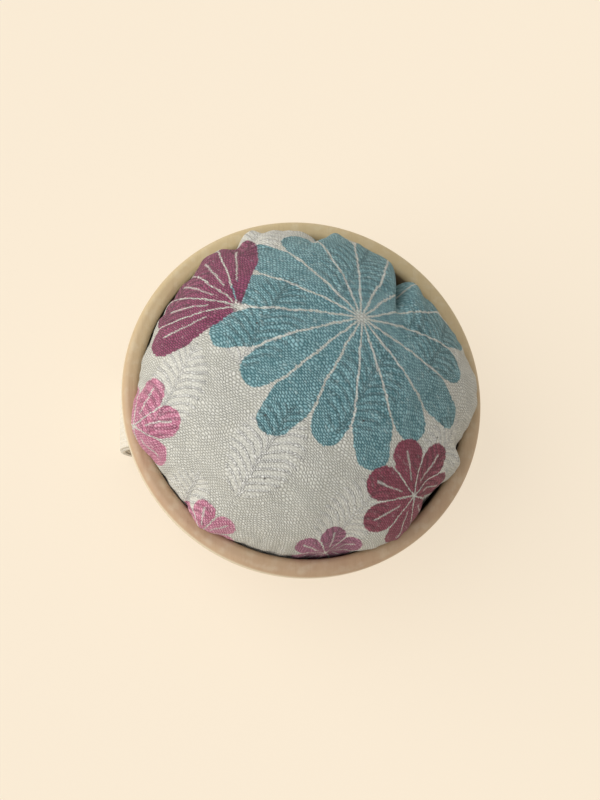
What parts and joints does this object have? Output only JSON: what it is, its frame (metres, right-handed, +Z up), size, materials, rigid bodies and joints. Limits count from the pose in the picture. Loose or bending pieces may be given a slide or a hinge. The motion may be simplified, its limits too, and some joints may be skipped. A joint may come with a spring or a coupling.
{
  "type": "wrist pin cushion",
  "caption": "Wrist pin cushion: a stuffed printed-crepe cushion glued into a turned wooden cup, on a flat elastic band whose loop goes round the wrist.",
  "frame": {"origin": "middle of the elastic band's lowest face, on the surface that the pin cushion stands on, under the middle of the cup", "axes": "+Z up through the cushion's top; the elastic band lies along X, so a wrist goes through its loop along Y"},
  "size_m": [0.06, 0.06, 0.043],
  "materials": {
    "turned_wood": "satin",
    "printed_crepe": "matte",
    "cotton_stuffing": "matte",
    "cotton_thread": "matte",
    "elastic_webbing": "matte"
  },
  "bodies": {
    "cup": {"wooden_cup": "turned_wood", "cushion_cover": "printed_crepe", "cushion_stuffing": "cotton_stuffing", "gathering_thread": "cotton_thread", "band_left_end": "elastic_webbing", "band_right_end": "elastic_webbing", "band_left_side": "elastic_webbing", "band_right_side": "elastic_webbing", "seam_stitches_left": "cotton_thread", "seam_stitches_right": "cotton_thread"},
    "band": {"band_lower_run": "elastic_webbing"}
  },
  "joints": [
    {"name": "band_stretch", "type": "slide", "parent": "cup", "child": "band", "axis": [0, 0, -1], "range_m": [0, 0.034], "stiffness_N_per_m": 25, "deforming": ["band_left_side", "band_right_side"]}
  ]
}
